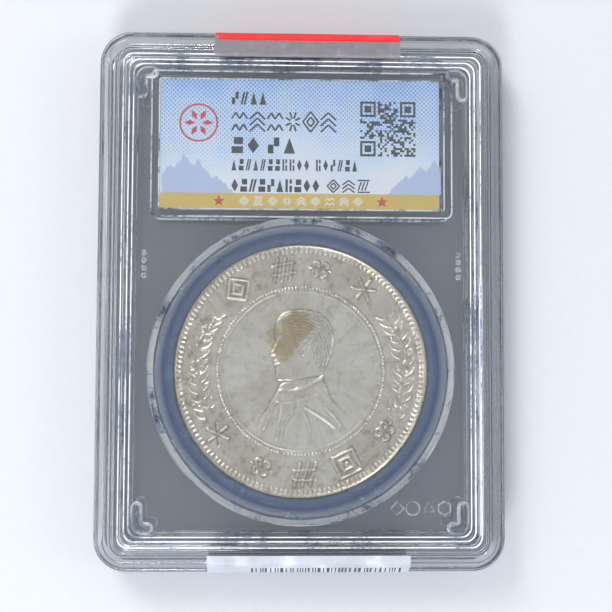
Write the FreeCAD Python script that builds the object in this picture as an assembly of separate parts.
"""Graded coin slab: a clear welded case that holds a coin in a soft ring, under a printed card in a frame.

The slab lies on its back. +X is to the right, +Y towards the card's end, +Z out of the front face.
The origin is the middle of the plane that the back rim rests on. All lengths are in millimetres.
A level is a height above the parting plane, where the two halves of the case are welded.
"""

import FreeCAD, Part
import math
import os

from FreeCAD import Vector

# Case, outside
SLAB_WIDTH = 62.6
SLAB_HEIGHT = 82.8
SLAB_THICKNESS = 8.2
CORNER_RADIUS = 5.0
LEAST_CORNER_RADIUS = 1.6
SHOULDER_LEVEL = 1.9
SHOULDER_CHAMFER = 0.38
RIM_INSET = 1.5
RIM_CHAMFER = 0.28
STEP_INSET = 3.0
STEP_RUN = 0.2
STEP_LEVEL = 3.7
SLOPE_INSET = 4.7
WINDOW_INSET = 6.3
WINDOW_LEVEL = 3.3

# Case, inside
WINDOW_THICKNESS = 1.4
CAVITY_INSET = 3.9
CAVITY_DRAFT = 0.1
TONGUE_INSET = 2.2
TONGUE_WIDTH = 0.7
TONGUE_LENGTH = 1.0
GROOVE_CLEARANCE = 0.05
WALL_GAP = 0.02
ROOT = 0.3

# Coin, its ring and the wall round them
COIN_DIAMETER = 39.0
COIN_THICKNESS = 2.4
COIN_RIM_WIDTH = 0.55
COIN_FIELD_DEPTH = 0.22
COIN_EDGE_CHAMFER = 0.12
COIN_CENTRE_Y = -11.0
RING_CLEARANCE = 0.05
RING_OUTER_RADIUS = 22.4
RING_THICKNESS = 3.8
RING_CHAMFER = 0.3
RING_GROOVE_RADIUS = 20.9
RING_GROOVE_WIDTH = 0.5
RING_GROOVE_DEPTH = 0.2
WELL_INNER_RADIUS = 22.6
WELL_WALL = 0.9

# Card, its frame and its seat
CARD_WIDTH = 43.2
CARD_HEIGHT = 20.2
CARD_THICKNESS = 0.4
CARD_CORNER = 0.3
CARD_LEFT = -21.9
CARD_BOTTOM = 13.9
CARD_TO_WINDOW = 0.15
CARD_TO_SEAT = 0.05
FRAME_LEFT = -22.15
FRAME_BOTTOM = 13.7
FRAME_WIDTH = 44.3
FRAME_HEIGHT = 20.5
FRAME_CORNER = 0.4
FRAME_WALL = 0.95
SEAT_MARGIN_X = 1.3
SEAT_MARGIN_Y = 1.1
SEAT_WALL = 0.9

# L-shaped stacking nubs at the window's corners
NUB_X = 24.65
NUB_Y = 34.65
NUB_LEG_X = 0.6
NUB_LEG_Y = 2.1
NUB_WIDTH = 1.7
NUB_BEND = 1.0
NUB_LEVEL = 3.95

# Raised mould marks on the front window: plain outlined shapes
MARK_CENTRES_X = (14.6, 17.0, 19.4, 21.8)
MARK_SIDES = (4, 24, 3, 6)
MARK_CENTRE_Y = -31.7
MARK_RADIUS = 0.95
MARK_LINE = 0.22
MARK_HEIGHT = 0.08

# Seals: a thin strip folded over each end of the case
SEAL_THICKNESS = 0.12
SEAL_TAIL_INSET = 1.1
TOP_SEAL_LEFT = -13.5
TOP_SEAL_RIGHT = 15.0
TOP_FLAP_INSET = 4.3
BOTTOM_SEAL_LEFT = -14.0
BOTTOM_SEAL_RIGHT = 16.5
BOTTOM_FLAP_INSET = 2.8

RIM_LEVEL = SLAB_THICKNESS / 2
FLANGE_LEVEL = SHOULDER_LEVEL + SHOULDER_CHAMFER
CEILING_LEVEL = WINDOW_LEVEL - WINDOW_THICKNESS
CARD_LEVEL = CEILING_LEVEL - CARD_TO_WINDOW - CARD_THICKNESS
SQUARE_TO_ARC = 1 - 0.5 ** 0.5


def fused(shapes):
    return shapes[0].multiFuse(shapes[1:]).removeSplitter()


def raised(shape):
    """Moves a shape from levels to heights above the rest plane."""
    return shape.translated(Vector(0, 0, RIM_LEVEL))


def rounded_wire(left, bottom, width, height, radius, level):
    """A closed rectangle with round corners."""
    right, top = left + width, bottom + height
    far = radius * SQUARE_TO_ARC
    sides = (
        ((right, bottom + radius), (right, top - radius), (right - far, top - far), (right - radius, top)),
        ((right - radius, top), (left + radius, top), (left + far, top - far), (left, top - radius)),
        ((left, top - radius), (left, bottom + radius), (left + far, bottom + far), (left + radius, bottom)),
        ((left + radius, bottom), (right - radius, bottom), (right - far, bottom + far), (right, bottom + radius)),
    )
    edges = []
    for side in sides:
        start, turn, middle, end = [Vector(x, y, level) for x, y in side]
        edges.append(Part.LineSegment(start, turn).toShape())
        edges.append(Part.Arc(turn, middle, end).toShape())
    return Part.Wire(edges)


def plate(left, bottom, width, height, radius, low, high):
    face = Part.Face(rounded_wire(left, bottom, width, height, radius, low))
    return face.extrude(Vector(0, 0, high - low))


def slab_wire(inset, level):
    """The case's outline, moved inwards by inset."""
    radius = max(CORNER_RADIUS - inset, LEAST_CORNER_RADIUS)
    width, height = SLAB_WIDTH - 2 * inset, SLAB_HEIGHT - 2 * inset
    return rounded_wire(-width / 2, -height / 2, width, height, radius, level)


def slab_layer(low_inset, low, high_inset, high):
    """A solid between two of the case's outlines."""
    return Part.makeLoft([slab_wire(low_inset, low), slab_wire(high_inset, high)], True, True)


def well_wall(low, high):
    """The round wall about the coin's ring."""
    base = Vector(0, COIN_CENTRE_Y, low)
    outside = Part.makeCylinder(WELL_INNER_RADIUS + WELL_WALL, high - low, base)
    return outside.cut(Part.makeCylinder(WELL_INNER_RADIUS, high - low, base))


def frame_wall(low, high):
    """The rectangular wall round the card."""
    outside = plate(FRAME_LEFT - FRAME_WALL, FRAME_BOTTOM - FRAME_WALL, FRAME_WIDTH + 2 * FRAME_WALL,
                    FRAME_HEIGHT + 2 * FRAME_WALL, FRAME_CORNER + FRAME_WALL / 2, low, high)
    inside = plate(FRAME_LEFT, FRAME_BOTTOM, FRAME_WIDTH, FRAME_HEIGHT, FRAME_CORNER, low, high)
    return outside.cut(inside)


def card_seat(low, high):
    """The narrower wall that the card lies on, inside the frame."""
    left, bottom = FRAME_LEFT + SEAT_MARGIN_X, FRAME_BOTTOM + SEAT_MARGIN_Y
    width, height = FRAME_WIDTH - 2 * SEAT_MARGIN_X, FRAME_HEIGHT - 2 * SEAT_MARGIN_Y
    outside = plate(left, bottom, width, height, FRAME_CORNER + SEAT_WALL, low, high)
    inside = plate(left + SEAT_WALL, bottom + SEAT_WALL, width - 2 * SEAT_WALL, height - 2 * SEAT_WALL,
                   FRAME_CORNER, low, high)
    return outside.cut(inside)


def band(edge, width):
    """A flat band of even width along a straight or round edge."""
    start, end = edge.FirstParameter, edge.LastParameter
    sides = []
    for offset in (-width / 2, width / 2):
        points = []
        for share in (0, 0.5, 1):
            at = start + share * (end - start)
            along = edge.tangentAt(at)
            points.append(edge.valueAt(at) + Vector(-along.y, along.x, 0) * offset)
        sides.append(points)
    left, right = sides
    if edge.Curve.TypeId == "Part::GeomLine":
        outline = [Part.LineSegment(left[0], left[2]), Part.LineSegment(left[2], right[2]),
                   Part.LineSegment(right[2], right[0]), Part.LineSegment(right[0], left[0])]
    else:
        outline = [Part.Arc(*left), Part.LineSegment(left[2], right[2]),
                   Part.Arc(*reversed(right)), Part.LineSegment(right[0], left[0])]
    return Part.Face(Part.Wire([piece.toShape() for piece in outline]))


def nub(side_x, side_y):
    """One L-shaped nub with round ends, standing on the window at the rim's corner."""
    low = WINDOW_LEVEL - ROOT
    tall = NUB_LEVEL - low
    leg_end = (NUB_X, NUB_Y - NUB_BEND - NUB_LEG_Y)
    bend = ((NUB_X, NUB_Y - NUB_BEND),
            (NUB_X - NUB_BEND * SQUARE_TO_ARC, NUB_Y - NUB_BEND * SQUARE_TO_ARC),
            (NUB_X - NUB_BEND, NUB_Y))
    toe_end = (NUB_X - NUB_BEND - NUB_LEG_X, NUB_Y)
    leg, turn, middle, back, toe = [Vector(side_x * x, side_y * y, low) for x, y in (leg_end, *bend, toe_end)]
    path = (Part.LineSegment(leg, turn), Part.Arc(turn, middle, back), Part.LineSegment(back, toe))
    solids = [band(piece.toShape(), NUB_WIDTH).extrude(Vector(0, 0, tall)) for piece in path]
    solids += [Part.makeCylinder(NUB_WIDTH / 2, tall, end) for end in (leg, toe)]
    return fused(solids)


def mould_mark(centre_x, sides):
    """A raised outline of a regular shape on the front window."""
    low = WINDOW_LEVEL - ROOT
    solids = []
    for radius in (MARK_RADIUS, MARK_RADIUS - MARK_LINE):
        points = []
        for i in range(sides + 1):
            angle = 2 * math.pi * (i % sides) / sides + math.pi / 2
            points.append(Vector(centre_x + radius * math.cos(angle), MARK_CENTRE_Y + radius * math.sin(angle), low))
        solids.append(Part.Face(Part.makePolygon(points)).extrude(Vector(0, 0, ROOT + MARK_HEIGHT)))
    return solids[0].cut(solids[1])


def half_case():
    """One half of the case above the parting plane: rim, window, nubs and the walls inside."""
    outside = fused([
        slab_layer(0, 0, 0, SHOULDER_LEVEL),
        slab_layer(0, SHOULDER_LEVEL, SHOULDER_CHAMFER, FLANGE_LEVEL),
        slab_layer(RIM_INSET, CEILING_LEVEL, RIM_INSET, RIM_LEVEL - RIM_CHAMFER),
        slab_layer(RIM_INSET, RIM_LEVEL - RIM_CHAMFER, RIM_INSET + RIM_CHAMFER, RIM_LEVEL),
    ])
    hollows = (
        slab_layer(STEP_INSET + STEP_RUN, STEP_LEVEL, STEP_INSET, RIM_LEVEL),
        slab_layer(WINDOW_INSET, WINDOW_LEVEL, SLOPE_INSET, STEP_LEVEL),
        slab_layer(CAVITY_INSET, 0, CAVITY_INSET + CAVITY_DRAFT, CEILING_LEVEL),
    )
    for hollow in hollows:
        outside = outside.cut(hollow)
    nubs = [nub(side_x, side_y) for side_x in (-1, 1) for side_y in (-1, 1)]
    walls = [well_wall(WALL_GAP, CEILING_LEVEL + ROOT), frame_wall(WALL_GAP, CEILING_LEVEL + ROOT)]
    return fused([outside] + nubs + walls)


def tongue(clearance):
    """The band round the parting face that locates the two halves, below the parting plane."""
    outer_inset = TONGUE_INSET - clearance
    inner_inset = TONGUE_INSET + TONGUE_WIDTH + clearance
    low = -TONGUE_LENGTH - clearance
    outside = slab_layer(outer_inset, low, outer_inset, 0)
    return outside.cut(slab_layer(inner_inset, low, inner_inset, 0))


def front_shell():
    """The front half, with the tongue and the mould marks."""
    marks = [mould_mark(x, sides) for x, sides in zip(MARK_CENTRES_X, MARK_SIDES)]
    return raised(fused([half_case(), tongue(0)] + marks))


def back_shell():
    """The back half: the front's mirror image, with the card's seat and the groove for the tongue."""
    mirrored = half_case().mirror(Vector(0, 0, 0), Vector(0, 0, 1))
    seat = card_seat(-CEILING_LEVEL - ROOT, CARD_LEVEL - CARD_TO_SEAT)
    return raised(fused([mirrored, seat]).cut(tongue(GROOVE_CLEARANCE)))


def turned(upper):
    """A solid of revolution about the coin's axis, the same above and below, from (radius, level) points."""
    lower = [(radius, -level) for radius, level in reversed(upper)]
    points = [Vector(radius, COIN_CENTRE_Y, level) for radius, level in upper + lower]
    face = Part.Face(Part.makePolygon(points + points[:1]))
    return raised(face.revolve(Vector(0, COIN_CENTRE_Y, 0), Vector(0, 0, 1), 360))


def coin():
    """A struck disc with a raised rim on both faces."""
    edge, half = COIN_DIAMETER / 2, COIN_THICKNESS / 2
    rim_foot = edge - COIN_RIM_WIDTH
    return turned([(0, half - COIN_FIELD_DEPTH), (rim_foot - COIN_FIELD_DEPTH, half - COIN_FIELD_DEPTH),
                   (rim_foot, half), (edge - COIN_EDGE_CHAMFER, half), (edge, half - COIN_EDGE_CHAMFER)])


def coin_ring():
    """The soft ring between the coin and the well's wall, with a shallow groove in both faces."""
    bore, half = COIN_DIAMETER / 2 + RING_CLEARANCE, RING_THICKNESS / 2
    near, far = RING_GROOVE_RADIUS - RING_GROOVE_WIDTH / 2, RING_GROOVE_RADIUS + RING_GROOVE_WIDTH / 2
    return turned([(bore, half - RING_CHAMFER), (bore + RING_CHAMFER, half),
                   (near, half), (near, half - RING_GROOVE_DEPTH), (far, half - RING_GROOVE_DEPTH), (far, half),
                   (RING_OUTER_RADIUS - RING_CHAMFER, half), (RING_OUTER_RADIUS, half - RING_CHAMFER)])


def label_card():
    return raised(plate(CARD_LEFT, CARD_BOTTOM, CARD_WIDTH, CARD_HEIGHT, CARD_CORNER,
                        CARD_LEVEL, CARD_LEVEL + CARD_THICKNESS))


def moved_path(path, distance):
    """An open path moved to its left by a distance, with mitred corners."""
    normals = []
    for (y, level), (next_y, next_level) in zip(path, path[1:]):
        run, rise = next_y - y, next_level - level
        normals.append(Vector(-rise, run, 0).normalize())
    moved = []
    for i, (y, level) in enumerate(path):
        beside = normals[max(i - 1, 0):i + 1]
        total = beside[0] if len(beside) == 1 else beside[0] + beside[1]
        scale = distance * len(beside) / total.Length ** 2
        moved.append((y + total.x * scale, level + total.y * scale))
    return moved


def seal(left, right, flap_inset):
    """A strip folded from the front rim over the top end to the back flange, clear of the rest plane."""
    end = SLAB_HEIGHT / 2
    path = [(end - flap_inset, RIM_LEVEL), (end - RIM_INSET - RIM_CHAMFER / 2, RIM_LEVEL),
            (end, SHOULDER_LEVEL), (end, -SHOULDER_LEVEL),
            (end - SHOULDER_CHAMFER, -FLANGE_LEVEL), (end - SEAL_TAIL_INSET, -FLANGE_LEVEL)]
    outline = path + moved_path(path, SEAL_THICKNESS)[::-1]
    points = [Vector(left, y, level) for y, level in outline]
    return raised(Part.Face(Part.makePolygon(points + points[:1])).extrude(Vector(right - left, 0, 0)))


def top_seal():
    return seal(TOP_SEAL_LEFT, TOP_SEAL_RIGHT, TOP_FLAP_INSET)


def barcode_seal():
    """The bottom end's strip."""
    strip = seal(BOTTOM_SEAL_LEFT, BOTTOM_SEAL_RIGHT, BOTTOM_FLAP_INSET)
    return strip.mirror(Vector(0, 0, 0), Vector(0, 1, 0))


PARTS = (front_shell, back_shell, coin_ring, coin, label_card, top_seal, barcode_seal)

os.makedirs("parts", exist_ok=True)
for make in PARTS:
    shape = make()
    name = make.__name__
    shape.exportStep(f"parts/{name}.step")
    print(name, "solids", len(shape.Solids), "valid", shape.isValid(), "volume", round(shape.Volume, 1), "mm3")
